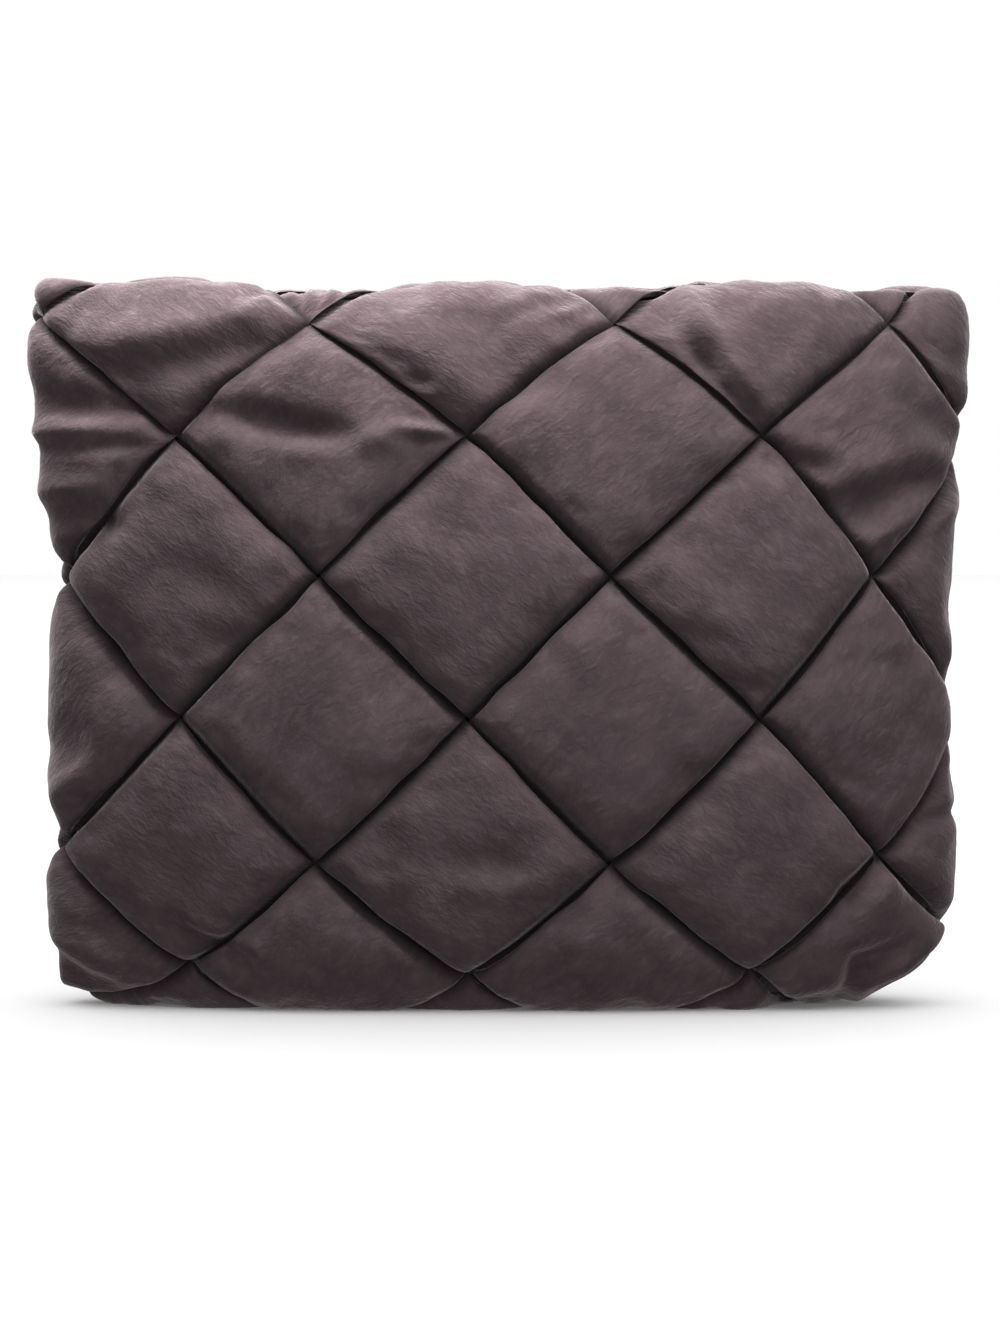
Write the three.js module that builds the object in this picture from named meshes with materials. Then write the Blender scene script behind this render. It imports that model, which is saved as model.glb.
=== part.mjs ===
// A padded document holder: stuffed nylon bands plaited on the bias into one seamless, open pouch.
// Millimetres, +Z up. The front faces -Y, and the origin is under the middle of the base.
//
// The wall is a plain weave that is rolled into a tube and closed by a fold along its base.
// A place on it is given by a half step round the tube, from 0 at the left fold to 7 at the right
// fold and 14 back at the left, and by a row, from 0 at the base to 6 just below the rim.
// Corners of the woven squares lie where both numbers are odd or both are even.
import * as THREE from 'three';
import { mergeVertices } from 'three/addons/utils/BufferGeometryUtils.js';

const HALF_STEPS_ROUND = 14;
const END_ROW = 6.44;
const BAND_PITCH = 85;
const BAND_EDGE_GAP = 1.5;
const SECTION_POWER = 2.35;
const ARC_STEPS = 60;
const FABRIC_COLOUR = 0x473d40;

// The middle of the wall at each row of the weave. The last rows turn inward over the rim.
// sideLift raises the row at the side folds, padding is half a band's thickness, and gap parts the layers.
const FORM = [
  { row: 0, halfWidth: 174, halfDepth: 0, height: 5, sideLift: 5, padding: 5.4, gap: 0.5 },
  { row: 1, halfWidth: 176, halfDepth: 31, height: 16.5, sideLift: 14, padding: 5.6, gap: 0.5 },
  { row: 2, halfWidth: 178, halfDepth: 39, height: 60, sideLift: 6, padding: 5.6, gap: 0.5 },
  { row: 3, halfWidth: 174, halfDepth: 40, height: 117, sideLift: 0, padding: 5.6, gap: 0.5 },
  { row: 4, halfWidth: 171, halfDepth: 38, height: 173.5, sideLift: 0, padding: 5.5, gap: 0.5 },
  { row: 5, halfWidth: 178, halfDepth: 33, height: 229, sideLift: 0, padding: 4.8, gap: 0.5 },
  { row: 6, halfWidth: 186, halfDepth: 25.5, height: 276.5, sideLift: 4, padding: 3, gap: 0.8 },
  { row: 6.25, halfWidth: 185, halfDepth: 21, height: 286, sideLift: 4, padding: 2.1, gap: 2 },
  { row: 6.5, halfWidth: 181, halfDepth: 14.5, height: 285, sideLift: 4, padding: 1.5, gap: 2.2 },
  { row: 6.75, halfWidth: 178, halfDepth: 11, height: 278, sideLift: 4, padding: 1.4, gap: 2.2 },
];

// How far the weave has slipped round the pouch at each half step, once it is a row above the base.
const SLIP = [
  { step: -1, shift: 0.02 },
  { step: 0, shift: 0.08 },
  { step: 1, shift: 0.07 },
  { step: 2, shift: 0.1 },
  { step: 3, shift: 0.22 },
  { step: 4, shift: 0.3 },
  { step: 5, shift: 0.4 },
  { step: 6, shift: 0.32 },
  { step: 7, shift: 0.12 },
  { step: 8, shift: 0.02 },
  { step: 13, shift: 0.02 },
  { step: 14, shift: 0.08 },
  { step: 15, shift: 0.07 },
];

// The rim dips where the woven squares meet.
const RIM_DIP = 4;
const RIM_DIP_FROM_ROW = 5.2;
const RIM_DIP_FULL_ROW = 6.2;

// Creases in the outer face, each from one place on the weave to another.
const CREASES = [
  { fromStep: 3.0, fromRow: 5.0, toStep: 1.95, toRow: 5.2, depth: 3.5, reach: 11 },
  { fromStep: 0.9, fromRow: 5.5, toStep: 1.8, toRow: 5.75, depth: 3, reach: 10 },
  { fromStep: 1.0, fromRow: 5.0, toStep: 0.1, toRow: 5.1, depth: 3, reach: 10 },
  { fromStep: 4.4, fromRow: 6.0, toStep: 4.95, toRow: 5.15, depth: 2.5, reach: 10 },
  { fromStep: 5.4, fromRow: 4.9, toStep: 6.5, toRow: 4.65, depth: 2.5, reach: 11 },
  { fromStep: 6.0, fromRow: 2.0, toStep: 5.4, toRow: 1.75, depth: 3, reach: 10 },
  { fromStep: 5.4, fromRow: 0.6, toStep: 6.3, toRow: 1.2, depth: 3, reach: 11 },
  { fromStep: 0.3, fromRow: 1.4, toStep: 1.1, toRow: 0.9, depth: 2.5, reach: 11 },
];

// The bottom right corner is cut off along one edge of a woven square, and rounds over in this share of a band.
const CORNER_STEP = 6;
const CORNER_ROUND = 0.36;

// Lines of vertices across a band, and along it in each woven square, as shares of the pitch.
const EDGE = BAND_EDGE_GAP / BAND_PITCH;
const LINES = [EDGE, 0.1, 0.31, 0.69, 0.9, 1 - EDGE];

const LAST_SQUARE = Math.ceil(END_ROW);

const columns = ['halfWidth', 'halfDepth', 'height', 'sideLift', 'padding', 'gap'];
const mirroredRow = { ...FORM[1], row: -FORM[1].row, halfDepth: -FORM[1].halfDepth };
const formRows = [mirroredRow, ...FORM];
const formCurve = new THREE.CubicInterpolant(
  formRows.map((entry) => entry.row),
  formRows.flatMap((entry) => columns.map((name) => entry[name])),
  columns.length,
);

function formAt(row) {
  const values = formCurve.evaluate(row);
  return Object.fromEntries(columns.map((name, i) => [name, values[i]]));
}

// A quarter of an oval, from its side (share 0) to its middle (share 1), even along its length.
function quarterOval(halfWidth, halfDepth, share) {
  const power = 2 / SECTION_POWER;
  const at = (angle) => [
    halfWidth * Math.max(0, Math.cos(angle)) ** power,
    halfDepth * Math.sin(angle) ** power,
  ];
  const lengths = [0];
  let last = at(0);
  for (let i = 1; i <= ARC_STEPS; i++) {
    const next = at((i / ARC_STEPS) * (Math.PI / 2));
    lengths.push(lengths[i - 1] + Math.hypot(next[0] - last[0], next[1] - last[1]));
    last = next;
  }
  const wanted = share * lengths[ARC_STEPS];
  let i = 1;
  while (i < ARC_STEPS && lengths[i] < wanted) i++;
  const part = (wanted - lengths[i - 1]) / (lengths[i] - lengths[i - 1]);
  return at(((i - 1 + part) / ARC_STEPS) * (Math.PI / 2));
}

const slipCurve = new THREE.CubicInterpolant(
  SLIP.map((entry) => entry.step),
  SLIP.map((entry) => entry.shift),
  1,
);

// A place on the weave brought above the base: the half step from 0 to 14 and the row.
function raised(step, row) {
  const turned = row < 0 ? HALF_STEPS_ROUND - step : step;
  return { step: THREE.MathUtils.euclideanModulo(turned, HALF_STEPS_ROUND), row: Math.abs(row) };
}

// The same half step counted on the front face, from 0 to 7.
function frontStep(step) {
  return step > HALF_STEPS_ROUND / 2 ? HALF_STEPS_ROUND - step : step;
}

// The middle of the wall at a place on the weave.
function wallPoint(step, row) {
  const place = raised(step, row);
  const inFromCorner = Math.max(0, place.row - frontStep(place.step) + CORNER_STEP) / 2;
  const left = Math.max(0, 1 - inFromCorner / CORNER_ROUND);
  const depthShare = Math.sqrt(1 - left ** 2);
  const form = formAt(place.row);
  const slip = slipCurve.evaluate(place.step)[0] * THREE.MathUtils.smoothstep(place.row, 0, 1);
  const round = THREE.MathUtils.euclideanModulo(place.step + slip, HALF_STEPS_ROUND);
  const fromMiddle = frontStep(round) / (HALF_STEPS_ROUND / 4) - 1;
  const fromSide = Math.max(0, 1 - Math.abs(fromMiddle));
  const [x, y] = quarterOval(form.halfWidth, form.halfDepth, fromSide);
  const lift = form.sideLift * fromMiddle ** 4;
  const nearRim = THREE.MathUtils.smoothstep(place.row, RIM_DIP_FROM_ROW, RIM_DIP_FULL_ROW);
  const dip = RIM_DIP * nearRim * (0.5 + 0.5 * Math.cos(place.step * Math.PI)) * (1 - fromMiddle ** 4);
  const side = round > HALF_STEPS_ROUND / 2 ? 1 : -1;
  return new THREE.Vector3(Math.sign(fromMiddle) * x, side * y * depthShare, form.height + lift - dip);
}

// The share of a band's full thickness at a share of its width: a flat-topped pillow.
function pillow(share) {
  const outward = Math.abs(share - 0.5) / (0.5 - EDGE);
  return outward >= 1 ? 0 : (1 - outward ** 3) ** 0.6;
}

// How far the outer face is drawn in at a place on the front.
function creaseDepth(step, row) {
  const place = raised(step, row);
  if (place.step > HALF_STEPS_ROUND / 2) return 0;
  const scale = BAND_PITCH / Math.SQRT2;
  const point = new THREE.Vector2(place.step, place.row);
  return CREASES.reduce((sum, crease) => {
    const from = new THREE.Vector2(crease.fromStep, crease.fromRow);
    const run = new THREE.Vector2(crease.toStep, crease.toRow).sub(from);
    const along = THREE.MathUtils.clamp(point.clone().sub(from).dot(run) / run.lengthSq(), 0, 1);
    const away = from.addScaledVector(run, along).distanceTo(point) * scale;
    return sum + crease.depth * Math.exp(-((away / crease.reach) ** 2));
  }, 0);
}

// A band's two faces at a share of its width and a distance along it, counted in squares.
// place() gives the half step and row, and index says at which squares the band is outside.
function bandFaces(band, across, along) {
  const at = (dx, dy) => wallPoint(...band.place(across + dx, along + dy));
  const tiny = 1e-3;
  const widthways = at(tiny, 0).sub(at(-tiny, 0));
  const lengthways = at(0, tiny).sub(at(0, -tiny));
  const outward = lengthways.cross(widthways).normalize();
  const [step, row] = band.place(across, along);
  const { padding, gap } = formAt(Math.abs(row));
  const square = Math.floor(along);
  const outside = (band.index + square) % 2 === 0;
  const centre = (padding * pillow(along - square) + gap / 2) * (outside ? 1 : -1);
  const half = padding * pillow(across);
  const drawnIn = outside ? Math.min(creaseDepth(step, row), half) : 0;
  const middle = at(0, 0);
  const outer = middle.clone().addScaledVector(outward, centre + half - drawnIn);
  const inner = middle.clone().addScaledVector(outward, centre - half);
  outer.z = Math.max(outer.z, 0);
  return { outer, inner };
}

// Triangles over a band as it lies flat, each corner a share of the width and a distance along.
// Every cell is split along its upright diagonal, so that crossing bands stay clear of each other.
function flatTriangles(band) {
  const stations = [];
  for (let square = band.first; square < band.last; square++) {
    stations.push(...LINES.map((line) => square + line));
  }
  const triangles = [];
  for (let i = 0; i + 1 < stations.length; i++) {
    for (let j = 0; j + 1 < LINES.length; j++) {
      const a = [LINES[j], stations[i]];
      const b = [LINES[j + 1], stations[i]];
      const c = [LINES[j], stations[i + 1]];
      const d = [LINES[j + 1], stations[i + 1]];
      if (band.risesRight(stations[i])) triangles.push([a, d, b], [a, c, d]);
      else triangles.push([a, c, b], [b, c, d]);
    }
  }
  return triangles;
}

// The part of a flat triangle that is short of the turned-in ends.
function trimmed(band, triangle) {
  const past = triangle.map((corner) => Math.abs(band.place(...corner)[1]) - END_ROW);
  return triangle.flatMap((corner, i) => {
    const next = (i + 1) % triangle.length;
    const kept = past[i] < 0 ? [corner] : [];
    if (past[i] < 0 === past[next] < 0) return kept;
    const share = past[i] / (past[i] - past[next]);
    const cut = corner.map((value, k) => THREE.MathUtils.lerp(value, triangle[next][k], share));
    return [...kept, cut];
  });
}

// A closed solid: the outer and inner faces meet along the band's edges, and a wall closes each cut end.
function bandGeometry(band) {
  const positions = [];
  const known = new Map();
  const vertex = (corner) => {
    const key = corner.map((value) => value.toFixed(5)).join();
    if (!known.has(key)) {
      const { outer, inner } = bandFaces(band, ...corner);
      known.set(key, positions.length / 3);
      positions.push(...outer.toArray(), ...inner.toArray());
    }
    return known.get(key);
  };
  const index = [];
  const onEnd = (corner) => Math.abs(Math.abs(band.place(...corner)[1]) - END_ROW) < 1e-6;
  for (const triangle of flatTriangles(band)) {
    const polygon = trimmed(band, triangle);
    const outer = polygon.map(vertex);
    for (let i = 1; i + 1 < polygon.length; i++) {
      index.push(outer[0], outer[i], outer[i + 1]);
      index.push(outer[0] + 1, outer[i + 1] + 1, outer[i] + 1);
    }
    polygon.forEach((corner, i) => {
      const next = (i + 1) % polygon.length;
      if (!onEnd(corner) || !onEnd(polygon[next])) return;
      index.push(outer[i], outer[i] + 1, outer[next] + 1);
      index.push(outer[i], outer[next] + 1, outer[next]);
    });
  }
  const geometry = new THREE.BufferGeometry();
  geometry.setAttribute('position', new THREE.Float32BufferAttribute(positions, 3));
  geometry.setIndex(index);
  return withoutSlivers(geometry);
}

// Joins the two faces where they meet and drops the triangles that this closes up.
function withoutSlivers(geometry) {
  const joined = mergeVertices(geometry, 1e-3);
  const corners = joined.getIndex().array;
  const kept = [];
  for (let i = 0; i < corners.length; i += 3) {
    const triangle = [corners[i], corners[i + 1], corners[i + 2]];
    if (new Set(triangle).size === 3) kept.push(...triangle);
  }
  joined.setIndex(kept);
  joined.computeVertexNormals();
  return joined;
}

// Bands that rise to the right on the front, and bands that rise to the left.
// Each runs from the rim down one face, under the base and up the other face to the rim.
function risingRight(index) {
  return {
    name: `band_right_${index + 1}`,
    index,
    risesRight: () => true,
    place: (across, along) => [along - index - across, along + index + across],
    first: -LAST_SQUARE - index - 1,
    last: LAST_SQUARE - index,
  };
}

function risingLeft(index) {
  return {
    name: `band_left_${index + 1}`,
    index,
    risesRight: () => false,
    place: (across, along) => [along + index + across, index + across - along],
    first: index - LAST_SQUARE,
    last: index + LAST_SQUARE + 1,
  };
}

// One band goes round the cut-off corner, so it rises to the left on the front and to the right on the back.
const cornerBand = {
  name: 'band_corner',
  index: 0,
  risesRight: (along) => along >= 0,
  place: (across, along) =>
    along < 0
      ? [CORNER_STEP + across + along, across - along]
      : [CORNER_STEP + 2 - across + along, across + along],
  first: -LAST_SQUARE,
  last: LAST_SQUARE,
};

const nylon = new THREE.MeshStandardMaterial({ color: FABRIC_COLOUR, roughness: 0.78, metalness: 0 });
const holder = new THREE.Group();
for (const band of [...[0, 1, 2].flatMap((i) => [risingRight(i), risingLeft(i)]), cornerBand]) {
  const mesh = new THREE.Mesh(bandGeometry(band), nylon.clone());
  mesh.name = band.name;
  holder.add(mesh);
}

// The origin is under the middle of the whole pouch.
const box = new THREE.Box3().setFromObject(holder);
const middle = box.getCenter(new THREE.Vector3());
for (const mesh of holder.children) mesh.geometry.translate(-middle.x, -middle.y, -box.min.z);

export default holder;
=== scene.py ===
import math

import bpy
import numpy as np
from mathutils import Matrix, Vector


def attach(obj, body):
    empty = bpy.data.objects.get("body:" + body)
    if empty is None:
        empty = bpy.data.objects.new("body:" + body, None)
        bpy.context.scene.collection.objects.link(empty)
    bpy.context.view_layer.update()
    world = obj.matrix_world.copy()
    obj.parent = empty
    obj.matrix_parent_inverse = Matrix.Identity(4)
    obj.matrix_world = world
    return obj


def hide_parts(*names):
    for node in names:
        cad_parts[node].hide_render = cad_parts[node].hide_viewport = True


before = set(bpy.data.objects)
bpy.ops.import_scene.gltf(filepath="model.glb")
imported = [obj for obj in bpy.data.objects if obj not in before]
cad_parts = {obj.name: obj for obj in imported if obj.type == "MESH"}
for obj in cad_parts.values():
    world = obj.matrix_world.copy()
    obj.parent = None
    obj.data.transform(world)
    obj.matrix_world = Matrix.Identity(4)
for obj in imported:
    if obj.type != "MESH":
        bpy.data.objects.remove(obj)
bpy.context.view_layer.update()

mm = 0.001

# The weave: rows and half steps as in the part, lengths in millimetres
weave = {
    "halfSteps": 14,
    "endRow": 6.44,
    "rimDip": 4.0,           # the rim dips between the squares, and a little more at the back
    "backDip": 1.0,
    "rimRows": (5.2, 6.2),
    "cornerDrop": 7.0,       # the top right corner sags and tucks in
    "cornerTuck": 4.5,
    "cornerRows": (4.7, 6),
    "rightTuck": 3.0,
    "pitch": 85.0,
    "edgeGap": 0.7,
    "ovalPower": 2.35,
    "ovalSteps": 60,
    "cornerStep": 6.0,
    "cornerRound": 0.36,
    "centreX": -0.16,        # the middle of the whole pouch, which is the origin
}

# row, half width, half depth, height, lift at the sides, half thickness of a band, gap between layers
form = np.array([
    (-1, 171, -31, 16.5, 14, 5.6, 0.5),
    (0, 171, 0, 5, 5, 5.4, 0.5),
    (1, 171, 31, 16.5, 14, 5.6, 0.5),
    (2, 173, 39, 60, 6, 5.6, 0.5),
    (3, 172, 40, 117, 0, 5.6, 0.5),
    (4, 171, 38, 173.5, 0, 5.5, 0.5),
    (5, 178, 33, 229, 0, 4.8, 0.5),
    (6, 186, 25.5, 276.5, 1, 3.0, 0.8),
    (6.25, 185, 18, 286, 1, 2.1, 2.0),
    (6.5, 181, 10, 285, 1, 1.5, 2.2),
    (6.75, 178, 7.5, 278, 1, 1.4, 2.2),
])

# half step, how far the weave has slipped round the pouch there
slip = np.array([
    (-1, 0.02), (0, 0.08), (1, 0.07), (2, 0.1), (3, 0.22), (4, 0.3), (5, 0.4), (6, 0.32), (7, 0.12),
    (8, 0.02), (13, 0.02), (14, 0.08), (15, 0.07),
])

edge = weave["edgeGap"] / weave["pitch"]


# A smooth curve through the rows of a table, which may be unevenly spaced
def curveAt(table, place):
    places, values = table[:, 0], table[:, 1:]
    i = np.clip(np.searchsorted(places, place, side="right") - 1, 1, len(places) - 3)
    t0, t1 = places[i], places[i + 1]
    p = ((place - t0) / (t1 - t0))[..., None]
    before = (0.5 * (t1 - t0) / (t0 - places[i - 1]))[..., None]
    after = (0.5 * (t1 - t0) / (places[i + 2] - t1))[..., None]
    p2, p3 = p * p, p ** 3
    return (values[i - 1] * (-before * p3 + 2 * before * p2 - before * p)
            + values[i] * ((1 + before) * p3 - (1.5 + 2 * before) * p2 + (before - 0.5) * p + 1)
            + values[i + 1] * (-(1 + after) * p3 + (1.5 + after) * p2 + 0.5 * p)
            + values[i + 2] * (after * p3 - after * p2))


def smoothStep(value, low, high):
    t = np.clip((value - low) / (high - low), 0, 1)
    return t * t * (3 - 2 * t)


# A point on a quarter of an oval, by its share of the way round from the side to the middle
def quarterOval(halfWidth, halfDepth, share):
    power, steps = 2 / weave["ovalPower"], weave["ovalSteps"]
    angles = np.linspace(0, math.pi / 2, steps + 1)
    x = halfWidth[..., None] * np.maximum(np.cos(angles), 0) ** power
    y = halfDepth[..., None] * np.sin(angles) ** power
    pieces = np.hypot(np.diff(x, axis=-1), np.diff(y, axis=-1))
    lengths = np.concatenate([np.zeros(x.shape[:-1] + (1,)), np.cumsum(pieces, axis=-1)], axis=-1)
    wanted = share * lengths[..., -1]
    i = np.clip((lengths < wanted[..., None]).sum(axis=-1), 1, steps)
    low = np.take_along_axis(lengths, (i - 1)[..., None], -1)[..., 0]
    high = np.take_along_axis(lengths, i[..., None], -1)[..., 0]
    angle = (i - 1 + (wanted - low) / np.maximum(high - low, 1e-9)) / steps * math.pi / 2
    return (halfWidth * np.maximum(np.cos(angle), 0) ** power,
            halfDepth * np.maximum(np.sin(angle), 0) ** power)


# A place past the base is on the other face, seen the other way round
def raised(step, row):
    return np.where(row < 0, weave["halfSteps"] - step, step) % weave["halfSteps"], np.abs(row)


def frontStep(step):
    return np.where(step > weave["halfSteps"] / 2, weave["halfSteps"] - step, step)


# Half step and row to a point in the middle of the pouch's wall
def wallPoint(step, row):
    step, row = raised(step, row)
    inward = np.maximum(0, row - frontStep(step) + weave["cornerStep"]) / 2
    depthShare = np.sqrt(1 - np.maximum(0, 1 - inward / weave["cornerRound"]) ** 2)
    values = curveAt(form, row)
    slipped = (step + curveAt(slip, step)[..., 0] * smoothStep(row, 0, 1)) % weave["halfSteps"]
    fromMiddle = frontStep(slipped) / (weave["halfSteps"] / 4) - 1
    x, y = quarterOval(values[..., 0], values[..., 1], np.maximum(0, 1 - np.abs(fromMiddle)))
    side = np.where(slipped > weave["halfSteps"] / 2, 1, -1)
    dip = weave["rimDip"] * (0.5 + 0.5 * np.cos(step * math.pi)) + weave["backDip"] * (side > 0)
    dip = dip * smoothStep(row, *weave["rimRows"]) * (1 - fromMiddle ** 4)
    z = values[..., 2] + values[..., 3] * fromMiddle ** 4 - dip
    toRight = np.maximum(0, fromMiddle) ** 6
    nearRim = smoothStep(row, *weave["cornerRows"])
    z = z - weave["cornerDrop"] * nearRim * toRight
    tuck = (weave["rightTuck"] + weave["cornerTuck"] * nearRim) * toRight
    x = np.sign(fromMiddle) * x - weave["centreX"] - tuck
    return np.stack([x, side * y * depthShare, z], axis=-1)


def pillow(share, fullness, ease):
    outward = np.minimum(1, np.abs(share - 0.5) / (0.5 - edge))
    return (1 - outward ** fullness) ** ease


def smoothed(grid, passes):
    for _ in range(passes):
        for axis in (0, 1):
            ends = [(1, 1) if a == axis else (0, 0) for a in range(grid.ndim)]
            wide = np.pad(grid, ends, mode="reflect", reflect_type="odd")
            low, mid, high = (np.take(wide, range(k, k + grid.shape[axis]), axis=axis) for k in range(3))
            grid = (low + 2 * mid + high) / 4
    return grid


# Folds on the front: from x, z to x, z, height (hollows are negative) and reach, all in millimetres
folds = np.array([
    (-116, 239, -62, 227, -4.5, 6), (-82, 223, -18, 231, 1.8, 5), (-42, 227, -16, 227, -1.6, 2.5),
    (-44, 232, -17, 229, 1.2, 2.6), (-35, 237, -16, 229, -1.4, 2.5), (-146, 253, -82, 269, -2.8, 7),
    (-154, 264, -86, 275, 1.6, 7), (-179, 244, -142, 238, -3.2, 8), (-185, 232, -140, 235, 1.8, 4),
    (-174, 226, -136, 225, -1.8, 3), (-187, 206, -158, 210, 1.3, 6), (-183, 197, -162, 202, -1.4, 6),
    (-163, 200, -151, 194, -3.5, 5), (-44, 247, -31, 251, -1.8, 3), (-13, 282, 1, 252, -2.8, 9),
    (-29, 270, -13, 242, 1.2, 8), (-76, 274, -95, 285, -1.8, 2.2), (-76, 274, -83, 285, -1.5, 2.2),
    (-76, 274, -72, 285, -1.5, 2.2), (-76, 274, -60, 285, -1.2, 2.2), (63, 277, 99, 231, -2.4, 3.8),
    (73, 279, 107, 236, 2.8, 5), (55, 270, 96, 236, -0.9, 7), (96, 276, 110, 261, -1.2, 5),
    (102, 220, 129, 215, -2.2, 5), (131, 202, 177, 216, -2.8, 7), (120, 210, 160, 220, 1.2, 6),
    (135, 193, 149, 202, -3, 6), (144, 189, 185, 209, 1.8, 6), (162, 268, 186, 250, -1.3, 5),
    (160, 242, 178, 221, -1.5, 6), (152, 234, 170, 214, 1, 6), (-131, 38, -101, 24, -3, 4),
    (-122, 38, -97, 27, 1.8, 3.5), (-179, 25, -162, 14, -2.4, 8), (-181, 30, -152, 22, 1.4, 5),
    (-177, 93, -172, 69, -1.8, 3), (-164, 97, -170, 81, 1.2, 4), (131, 45, 145, 60, -3, 3.2),
    (142, 42, 153, 60, 2.2, 6), (135, 45, 137, 47, -3, 4), (154, 29, 139, 23, -2.6, 4.5),
    (139, 23, 133, 6, -3.2, 4.5), (145, 11, 174, 28, -3.4, 4), (149, 18, 162, 28, 1.8, 4),
    (141, 13, 162, 4, 1.4, 5), (152, 74, 173, 78, -1.8, 3), (106, 6, 129, 12, -2.2, 4),
    (-17, 52, 15, 52, 1, 6), (-21, 64, 7, 60, -1, 6), (-122, 177, -108, 165, -1.4, 7),
    (55, 105, 79, 85, -0.9, 9), (23, 161, 35, 125, 0.8, 10), (-60, 145, -39, 121, -0.8, 10),
    (79, 161, 104, 141, 0.8, 9), (-158, 161, -142, 137, -1, 8), (-48, 193, -21, 177, 0.8, 8),
    (186, 250, 186, 226, 1.8, 10), (190, 274, 190, 258, -1.4, 10),
])
foldTurn = 8       # the folds fade from front to back over this depth either way of the middle
backFolds = 0.5


# The back has the same folds turned round, half as strong
def foldHeight(points):
    x, y, z = points[..., 0], points[..., 1], points[..., 2]
    front = 1 - smoothStep(y, -foldTurn, foldTurn)
    total = np.zeros_like(x)
    for x0, z0, x1, z1, height, reach in folds:
        run = np.array([x1 - x0, z1 - z0])
        for seen, strength in ((x, front), (-x, backFolds * (1 - front))):
            held = np.clip(((seen - x0) * run[0] + (z - z0) * run[1]) / (run @ run), 0, 1)
            away = np.hypot(seen - x0 - held * run[0], z - z0 - held * run[1])
            total += strength * height * np.sin(math.pi * (0.2 + 0.6 * held)) * np.exp(-(away / reach) ** 2)
    return total


# Seeded soft waves: a sum of plane waves with lengths between two limits, in millimetres
def softWaves(points, shortest, longest, seed, count=26):
    random = np.random.default_rng(seed)
    total = np.zeros(points.shape[:-1])
    for _ in range(count):
        direction = random.normal(size=3)
        direction /= np.linalg.norm(direction)
        length = math.exp(random.uniform(math.log(shortest), math.log(longest)))
        total += np.cos(points @ (direction * 2 * math.pi / length) + random.uniform(0, 2 * math.pi))
    return total / math.sqrt(count / 2)


# Where a place on a band lies in the weave: half step and row
def placeOf(kind, index):
    if kind == "right":
        return lambda across, along: (along - index - across, along + index + across)
    if kind == "left":
        return lambda across, along: (along + index + across, index + across - along)
    corner = weave["cornerStep"]
    return lambda across, along: (
        np.where(along < 0, corner + across + along, corner + 2 - across + along),
        np.where(along < 0, across - along, across + along))


# Where a band ends at the rim, along it
def endsOf(kind, index, across):
    end = weave["endRow"]
    if kind == "right":
        return -end - index - across, end - index - across
    if kind == "left":
        return index + across - end, index + across + end
    return across - end, end - across


# The padding and its cover: lengths in millimetres, waves as height, shortest and longest
puff = {
    "acrossCells": 44,
    "squareCells": 42,
    "lineCrowding": 0.35,        # lines stand closer where a band goes under
    "seed": 11,
    "bandFullness": 6,
    "squareFullness": 4,
    "nip": 1.0,                  # share of the padding squeezed out where a band goes under
    "nipReach": 3.0,
    "paintedShadeReach": 2.8,         # how far the painted shade of a gap reaches from a crossing line; the next, from a band's edge
    "edgeShadeReach": 0.9,
    "crown": 0.3,
    "longWaves": (0.4, 45, 120),
    "shortWaves": (0.15, 16, 34),
    "lineGathers": (0.38, 8, 20),
    "lineGatherReach": 13,
    "edgeGathers": (0.38, 9, 22),
    "edgeGatherReach": 9,
    "gatherStretch": 0.12,
    "crinkle": (0.08, 6, 12),
    "crinkleStretch": 0.22,
    "ripple": (0.38, 14, 45),    # waviness of the free edges
    "folds": 2.1,
    "deepest": 0.6,              # share of the padding that a fold can press in
    "deepestEase": 0.3,
    "innerFloor": 0.6,
}


# Lines of a band: shares across it, squares along it, and each line's place in the run of lines
def bandGrid(kind, index, cells, squareCells):
    across = 0.5 + (0.5 - edge) * np.sin(np.linspace(-1, 1, cells + 1) * math.pi / 2)
    start, end = endsOf(kind, index, across)
    first, last = math.ceil(start.max()), math.floor(end.min())
    steps = (np.arange(squareCells) + 0.5) / squareCells
    tail = np.linspace(0, 1, squareCells + 1)
    order = np.concatenate([tail[:-1], (1 + np.arange(last - first)[:, None] + steps).ravel(),
                            tail[1:] + 1 + last - first])
    steps = steps - puff["lineCrowding"] * np.sin(2 * math.pi * steps) / (2 * math.pi)
    middle = (np.arange(first, last)[:, None] + steps[None, :]).ravel()
    along = np.concatenate([
        start[None, :] + (first - start)[None, :] * tail[:-1, None],
        np.repeat(middle[:, None], cells + 1, axis=1),
        last + (end - last)[None, :] * tail[1:, None],
    ])
    return np.repeat(across[None, :], len(along), axis=0), along, order


# Waves, gathers, crinkles and folds of a band's cover, the last three on the fine lines only
def softness(kind, index, across, along, middle, detail):
    def waves(name, points, seedStep):
        height, shortest, longest = puff[name]
        return height * softWaves(points, shortest, longest, puff["seed"] + seedStep)

    total = waves("longWaves", middle, 0) + waves("shortWaves", middle, 1)
    if not detail:
        return total
    u, v = along * weave["pitch"], across * weave["pitch"]
    toLine = np.abs(along - np.round(along)) * weave["pitch"]
    toEdge = np.minimum(across, 1 - across) * weave["pitch"]
    own = 37.0 * index + {"right": 0, "left": 200, "corner": 500}[kind] + 11.0 * np.floor(along)
    stretch = puff["gatherStretch"]
    fromLine = waves("lineGathers", np.stack([u * stretch, v, own], axis=-1), 3)
    fromEdge = waves("edgeGathers", np.stack([u, v * stretch, own], axis=-1), 4)
    total = total + np.exp(-toLine / puff["lineGatherReach"]) * fromLine
    total = total + np.exp(-toEdge / puff["edgeGatherReach"]) * fromEdge
    total = total + waves("crinkle", np.stack([u * puff["crinkleStretch"], v, own], axis=-1), 5)
    return total + puff["folds"] * foldHeight(middle)
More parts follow.
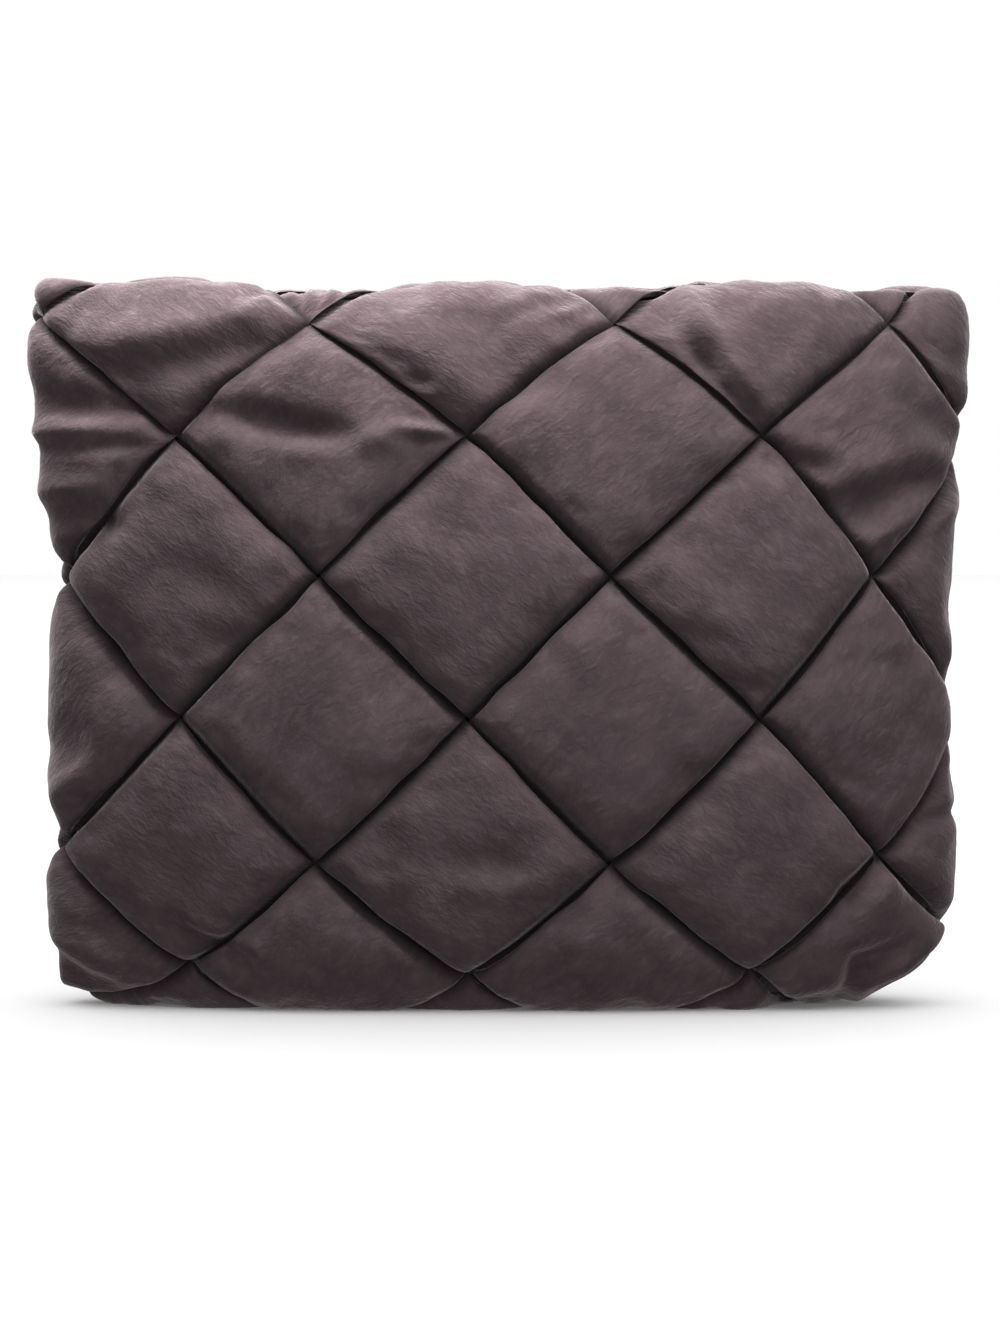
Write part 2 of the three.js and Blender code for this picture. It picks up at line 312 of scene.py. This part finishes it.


# Outer and inner face of a band, how free its cover is to move, and a mask of painted shade in its gaps and
# along its edges
def bandFaces(kind, index, across, along, detail):
    step, row = placeOf(kind, index)(across, along)
    middle = smoothed(wallPoint(step, row), 3)
    widthways = np.gradient(middle, axis=1)
    lengthways = np.gradient(middle, axis=0)
    outward = np.cross(lengthways, widthways)
    outward = smoothed(outward / np.linalg.norm(outward, axis=-1, keepdims=True), 6)
    outward /= np.linalg.norm(outward, axis=-1, keepdims=True)
    values = curveAt(form, np.abs(row))
    padding, gap = values[..., 4], values[..., 5]
    square = np.floor(along)
    outside = (index + square) % 2 == 0
    bulge = padding * pillow(along - square, puff["squareFullness"], 0.5) + gap / 2
    centre = smoothed(np.where(outside, 1, -1) * bulge, 2)
    full = pillow(across, puff["bandFullness"], 0.5)
    half = padding * full
    toLine = np.abs(along - np.round(along)) * weave["pitch"]
    toEdge = np.minimum(across, 1 - across) * weave["pitch"]
    nip = np.exp(-(toLine / puff["nipReach"]) ** 2)
    soft = puff["crown"] * pillow(along - square, 2, 1) + softness(kind, index, across, along, middle, detail)
    lift = half * (1 - puff["nip"] * nip) + outside * full * (1 - nip) * soft
    spare = lift + puff["deepest"] * half          # the cover eases off before it meets the under side
    lift = (spare + np.sqrt(spare ** 2 + puff["deepestEase"])) / 2 - puff["deepest"] * half
    sideways = widthways / np.linalg.norm(widthways, axis=-1, keepdims=True)
    height, shortest, longest = puff["ripple"]
    ripple = height * (2 * across - 1) ** 2 * softWaves(middle, shortest, longest, puff["seed"] + 2)
    edged = middle + sideways * ripple[..., None]
    outer = edged + outward * (centre + lift)[..., None]
    inner = edged + outward * (centre - half)[..., None]
    outer[..., 2] = np.maximum(outer[..., 2], 0)
    inner[..., 2] = np.maximum(inner[..., 2], puff["innerFloor"])
    free = outside * smoothStep(np.minimum(across, 1 - across), 0.02, 0.09)
    free = free * smoothStep(np.minimum(along - square, 1 - along + square), 0.02, 0.12)
    # Painted shade: a mask that darkens the colour near crossing lines and band edges, where the gaps lie in
    # shade
    nearLine, nearEdge = toLine / puff["paintedShadeReach"], toEdge / puff["edgeShadeReach"]
    paintedShade = np.exp(-np.minimum(nearLine, nearEdge) ** 2)
    return outer, inner, free, paintedShade


# The cloth of the cover, settled on fewer lines and at a small scale
cover = {
    "acrossCells": 28,
    "squareCells": 26,
    "scale": 0.01,
    "mass": 0.03,
    "quality": 6,
    "stiffness": 60.0,
    "bending": 0.01,
    "pressure": 0.5,
    "growth": 0.04,              # how much larger the cover is than its padding
    "frames": 16,
    "mostMove": 2.0,
}


# A cover settles as cloth held at its crossings and pressed out from inside, and its move is read off
def settle(outer, free):
    rows, columns = free.shape
    grid = np.arange(rows * columns).reshape(rows, columns)
    quads = np.stack([grid[:-1, :-1], grid[1:, :-1], grid[1:, 1:], grid[:-1, 1:]], axis=-1).reshape(-1, 4)
    mesh = bpy.data.meshes.new("cover")
    mesh.from_pydata((outer.reshape(-1, 3) * cover["scale"]).tolist(), [], quads.tolist())
    sheet = bpy.data.objects.new("cover", mesh)
    bpy.context.scene.collection.objects.link(sheet)
    held = sheet.vertex_groups.new(name="held")
    for point, share in enumerate((1 - free).ravel().tolist()):
        held.add([point], share, "REPLACE")
    cloth = sheet.modifiers.new("cloth", "CLOTH")
    cloth.settings.vertex_group_mass = "held"
    cloth.settings.mass = cover["mass"]
    cloth.settings.quality = cover["quality"]
    cloth.settings.tension_stiffness = cover["stiffness"]
    cloth.settings.compression_stiffness = cover["stiffness"]
    cloth.settings.shear_stiffness = cover["stiffness"] / 3
    cloth.settings.bending_stiffness = cover["bending"]
    cloth.settings.use_pressure = True
    cloth.settings.uniform_pressure_force = cover["pressure"]
    cloth.settings.shrink_min = -cover["growth"]
    cloth.settings.effector_weights.gravity = 0
    cloth.point_cache.frame_end = cover["frames"]
    for frameNumber in range(1, cover["frames"] + 1):
        bpy.context.scene.frame_set(frameNumber)
    done = sheet.evaluated_get(bpy.context.evaluated_depsgraph_get()).data
    moved = np.empty(rows * columns * 3, dtype=np.float32)
    done.vertices.foreach_get("co", moved)
    moved = moved.reshape(rows, columns, 3) / cover["scale"] - outer
    bpy.data.objects.remove(sheet)
    bpy.data.meshes.remove(mesh)
    bpy.context.scene.frame_set(1)
    length = np.linalg.norm(moved, axis=-1, keepdims=True)
    return moved * np.minimum(1, cover["mostMove"] / np.maximum(length, 1e-6)) * (free > 0)[..., None]


# Values on coarse lines, read off between them for finer lines
def refined(values, coarseOrder, fineOrder, fineColumns):
    row = np.interp(fineOrder, coarseOrder, np.arange(len(coarseOrder)))
    column = np.linspace(0, values.shape[1] - 1, fineColumns)
    row0 = np.minimum(row.astype(int), values.shape[0] - 2)
    column0 = np.minimum(column.astype(int), values.shape[1] - 2)
    rowPart, columnPart = (row - row0)[:, None, None], (column - column0)[None, :, None]
    low = values[row0][:, column0] * (1 - columnPart) + values[row0][:, column0 + 1] * columnPart
    high = values[row0 + 1][:, column0] * (1 - columnPart) + values[row0 + 1][:, column0 + 1] * columnPart
    return low * (1 - rowPart) + high * rowPart


def paddedBand(kind, index):
    across, along, order = bandGrid(kind, index, puff["acrossCells"], puff["squareCells"])
    outer, inner, free, paintedShade = bandFaces(kind, index, across, along, True)
    fewAcross, fewAlong, fewOrder = bandGrid(kind, index, cover["acrossCells"], cover["squareCells"])
    fewOuter, _, fewFree, _ = bandFaces(kind, index, fewAcross, fewAlong, False)
    moved = settle(fewOuter, fewFree)
    most = float(np.linalg.norm(moved, axis=-1).max())
    print("settled", kind, index, "most move", round(most, 2), "mm")
    outer = outer + smoothed(refined(moved, fewOrder, order, across.shape[1]), 2)
    outer[..., 2] = np.maximum(outer[..., 2], 0)
    return across, along, outer, inner, paintedShade


# Values once round each line of a band: over the outer face, then back under the inner one
def aroundBand(outerValues, innerValues):
    return np.concatenate([outerValues, innerValues[:, -2:0:-1]], axis=1)


# One closed mesh: outer face, inner face, and caps on the cut ends
def bandMesh(name, kind, index):
    across, along, outer, inner, paintedShade = paddedBand(kind, index)
    rows, columns = across.shape
    ring = aroundBand(outer, inner)
    size = ring.shape[1]
    line, place = np.meshgrid(np.arange(rows - 1), np.arange(size), indexing="ij")
    following = (place + 1) % size
    quads = np.stack([line * size + place, (line + 1) * size + place,
                      (line + 1) * size + following, line * size + following], axis=-1)
    faces = quads.reshape(-1, 4).tolist()
    for base, turn in ((0, -1), ((rows - 1) * size, 1)):
        for k in range(columns - 1):
            corners = dict.fromkeys([k, k + 1, size - k - 1, (size - k) % size])
            faces.append([base + corner for corner in corners][::turn])
    mesh = bpy.data.meshes.new(name)
    mesh.from_pydata((ring.reshape(-1, 3) * mm).tolist(), [], faces)
    layer = mesh.uv_layers.new(name="band")
    vertex = np.empty(len(mesh.loops), dtype=np.int32)
    mesh.loops.foreach_get("vertex_index", vertex)
    flat = np.stack([aroundBand(along, along).ravel(), aroundBand(across, across).ravel()], axis=-1)
    layer.data.foreach_set("uv", (flat * weave["pitch"] * mm)[vertex].astype(np.float32).ravel())
    # Painted shade: the gap mask on the outer face, and full painted shade over the inner face
    shade = mesh.attributes.new("paintedShade", "FLOAT", "POINT")
    shade.data.foreach_set("value", aroundBand(paintedShade, np.ones_like(paintedShade)).ravel().astype(np.float32))
    mesh.polygons.foreach_set("use_smooth", np.ones(len(mesh.polygons), dtype=bool))
    mesh.validate()
    mesh.update()
    made = bpy.data.objects.new(name, mesh)
    bpy.context.scene.collection.objects.link(made)
    return made


# Shader sockets with arithmetic
class Socket:
    def __init__(self, tree, socket):
        self.tree = tree
        self.socket = socket

    def math(self, operation, *others):
        sockets = dict(enumerate((self, *others)))
        return makeNode(self.tree, "ShaderNodeMath", {"operation": operation}, sockets)

    def __add__(self, other):
        return self.math("ADD", other)

    def __radd__(self, other):
        return self.math("ADD", other)

    def __sub__(self, other):
        return self.math("SUBTRACT", other)

    def __rsub__(self, other):
        return self * -1 + other

    def __mul__(self, other):
        return self.math("MULTIPLY", other)

    def __rmul__(self, other):
        return self.math("MULTIPLY", other)


def plug(tree, value, slot):
    if isinstance(value, Socket):
        tree.links.new(value.socket, slot)
    else:
        slot.default_value = value


# A node of any type: its settings first, then its sockets by name or place
def makeNode(tree, kind, settings, sockets, out=0):
    made = tree.nodes.new(kind)
    for key, value in settings.items():
        setattr(made, key, value)
    for key, value in sockets.items():
        plug(tree, value, made.inputs[key])
    return Socket(tree, made.outputs[out])


# Two colours mixed by a share
def blend(tree, share, first, second):
    return makeNode(tree, "ShaderNodeMix", {"data_type": "RGBA"}, {0: share, 6: first, 7: second}, out=2)


# Crinkled nylon: scales are per metre of cloth
fabric = {
    # painted shade: the near-black colour laid into the gaps, along band edges and over the inner faces
    "gap": (0.004, 0.003, 0.0033, 1),
    "dark": (0.0150, 0.0106, 0.0117, 1),
    "light": (0.0545, 0.0386, 0.0423, 1),
    "gapShadeShare": 0.92,
    "roughness": 0.85,
    "crinkleGloss": -0.18,
    "bumpStrength": 0.9,
    "bumpDistance": 0.0016,
    "streakAngle": 0.12,
    "streakStretch": 1.8,
    "coarse": {"Scale": 150.0, "Detail": 3.0, "Roughness": 0.55, "Distortion": 0.2},
    "fine": {"Scale": 420.0, "Detail": 4.0, "Roughness": 0.6, "Distortion": 0.15},
    "broad": {"Scale": 55.0, "Detail": 3.0, "Roughness": 0.5},
    "grain": {"Scale": 2400.0, "Detail": 2.0, "Roughness": 0.5},
    "finish": {
        "Sheen Weight": 0.2,
        "Sheen Roughness": 0.35,
        "Sheen Tint": (1.0, 0.86, 0.88, 1),
        "Specular IOR Level": 0.12,
        "Specular Tint": (1.0, 0.82, 0.86, 1),
    },
}


def nylonMaterial(name):
    material = bpy.data.materials.new(name)
    material.use_nodes = True
    tree = material.node_tree
    shader = tree.nodes["Principled BSDF"]
    uv = makeNode(tree, "ShaderNodeUVMap", {"uv_map": "band"}, {})
    turned = makeNode(tree, "ShaderNodeMapping", {"vector_type": "TEXTURE"}, {
        "Vector": uv, "Rotation": (0, 0, fabric["streakAngle"]), "Scale": (fabric["streakStretch"], 1, 1)})
    coarse = makeNode(tree, "ShaderNodeTexNoise", {}, {"Vector": turned, **fabric["coarse"]})
    fine = makeNode(tree, "ShaderNodeTexNoise", {}, {"Vector": turned, **fabric["fine"]})
    broad = makeNode(tree, "ShaderNodeTexNoise", {}, {"Vector": uv, **fabric["broad"]})
    grain = makeNode(tree, "ShaderNodeTexNoise", {}, {"Vector": uv, **fabric["grain"]})
    crinkle = (coarse - 0.5).math("ABSOLUTE") * 0.85 + (fine - 0.5).math("ABSOLUTE") * 0.45
    height = crinkle + broad * 0.5 + grain * 0.05
    bump = makeNode(tree, "ShaderNodeBump", {}, {
        "Strength": fabric["bumpStrength"], "Distance": fabric["bumpDistance"], "Height": height})
    tone = (crinkle * 1.4 + broad * 0.7 + fine * 0.3 - 0.2).math("MINIMUM", 1.0).math("MAXIMUM", 0.0)
    # Painted shade: the colour is pulled towards the dark gap colour where the mask is high
    paintedShade = makeNode(tree, "ShaderNodeAttribute", {"attribute_name": "paintedShade"}, {}, out=2)
    lit = blend(tree, tone, fabric["dark"], fabric["light"])
    plug(tree, blend(tree, paintedShade * fabric["gapShadeShare"], lit, fabric["gap"]), shader.inputs["Base Color"])
    plug(tree, crinkle * fabric["crinkleGloss"] + fabric["roughness"], shader.inputs["Roughness"])
    plug(tree, bump, shader.inputs["Normal"])
    for key, value in fabric["finish"].items():
        shader.inputs[key].default_value = value
    return material


bands = [(f"{kind}_{index + 1}", f"{kind.title()}{index + 1}", kind, index)
         for kind in ("right", "left") for index in range(3)]
bands.append(("corner", "Corner", "corner", 0))
nylon = nylonMaterial("paddedNylon")
allBands = bpy.data.collections.new("cloth")
for node, label, kind, index in bands:
    piece = bandMesh("band" + label, kind, index)
    piece.data.materials.append(nylon)
    allBands.objects.link(piece)
    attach(piece, "root")
    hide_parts("band_" + node)
    print("band", piece.name, len(piece.data.polygons), "faces")

# White ground and a round backdrop, in metres
ground = {
    "floorHalf": 5,
    "floorTone": 0.95,
    "floorGlow": 0.07,
    "radius": 4.9,
    "sides": 72,
    "height": 3.1,
    "backdropGlow": 1.0,
}


def stagePiece(name, points, faces, tone, glow):
    mesh = bpy.data.meshes.new(name)
    mesh.from_pydata(points, [], faces)
    made = bpy.data.objects.new(name, mesh)
    bpy.context.scene.collection.objects.link(made)
    material = bpy.data.materials.new(name)
    material.use_nodes = True
    shader = material.node_tree.nodes["Principled BSDF"]
    shader.inputs["Base Color"].default_value = (tone, tone, tone, 1)
    shader.inputs["Roughness"].default_value = 0.8
    shader.inputs["Specular IOR Level"].default_value = 0.1
    shader.inputs["Emission Color"].default_value = (1, 1, 1, 1)
    shader.inputs["Emission Strength"].default_value = glow
    mesh.materials.append(material)
    made.visible_diffuse = False          # it throws no light back on the cloth
    made.visible_glossy = False
    return made


far, sides = ground["floorHalf"], ground["sides"]
stagePiece("floor", [(-far, -far, 0), (far, -far, 0), (far, far, 0), (-far, far, 0)], [(0, 1, 2, 3)],
           ground["floorTone"], ground["floorGlow"])
turns = np.linspace(0, 2 * math.pi, sides + 1)[:-1]
rim = [(ground["radius"] * math.cos(turn), ground["radius"] * math.sin(turn)) for turn in turns]
stagePiece("backdrop", [(x, y, z) for z in (0, ground["height"]) for x, y in rim],
           [(i, (i + 1) % sides, sides + (i + 1) % sides, sides + i) for i in range(sides)],
           0.0, ground["backdropGlow"])
print("floor and backdrop placed")

# name: place, aim, size, power, and whether it lights the bands alone
lights = {
    "overhead": ((0, 0, 3.2), (0, 0, 0), (10, 10), 240.0, False),
    "frontKey": ((-0.06, -0.125, 0.54), (0, -0.03, 0.2), (0.8, 0.1), 10.8, True),
    "backKey": ((-0.06, 0.16, 0.54), (0, 0.0384, 0.2), (0.8, 0.1), 9.0, True),
    "lowFill": ((0.2, -1.2, 0.12), (0, 0, 0.12), (1.4, 0.3), 7.0, True),
}
skyStrength = 0.66


def aimed(thing, place, target):
    thing.location = place
    thing.rotation_euler = (Vector(target) - Vector(place)).to_track_quat("-Z", "Y").to_euler()
    bpy.context.scene.collection.objects.link(thing)


for name, (place, target, size, power, bandsAlone) in lights.items():
    data = bpy.data.lights.new(name, "AREA")
    data.shape = "RECTANGLE"
    data.size, data.size_y = size
    data.energy = power
    light = bpy.data.objects.new(name, data)
    aimed(light, place, target)
    if bandsAlone:
        light.light_linking.receiver_collection = allBands
world = bpy.data.worlds.new("studioWorld")
world.use_nodes = True
world.node_tree.nodes["Background"].inputs["Color"].default_value = (1, 1, 1, 1)
world.node_tree.nodes["Background"].inputs["Strength"].default_value = skyStrength
bpy.context.scene.world = world
print("lights", len(lights))

view = {
    "distance": 2.2,
    "elevation": 3.0,
    "target": (-0.0015, 0.0, 0.136),
    "frameHeight": 0.537,
    "sensor": 36,
}
cameraData = bpy.data.cameras.new("camera")
cameraData.sensor_fit = "VERTICAL"
cameraData.sensor_height = view["sensor"]
cameraData.lens = view["sensor"] * view["distance"] / view["frameHeight"]
camera = bpy.data.objects.new("camera", cameraData)
angle = math.radians(view["elevation"])
towards = Vector((0, -math.cos(angle), math.sin(angle)))
aimed(camera, Vector(view["target"]) + view["distance"] * towards, view["target"])
bpy.context.scene.camera = camera
bpy.context.scene.view_settings.view_transform = "Standard"
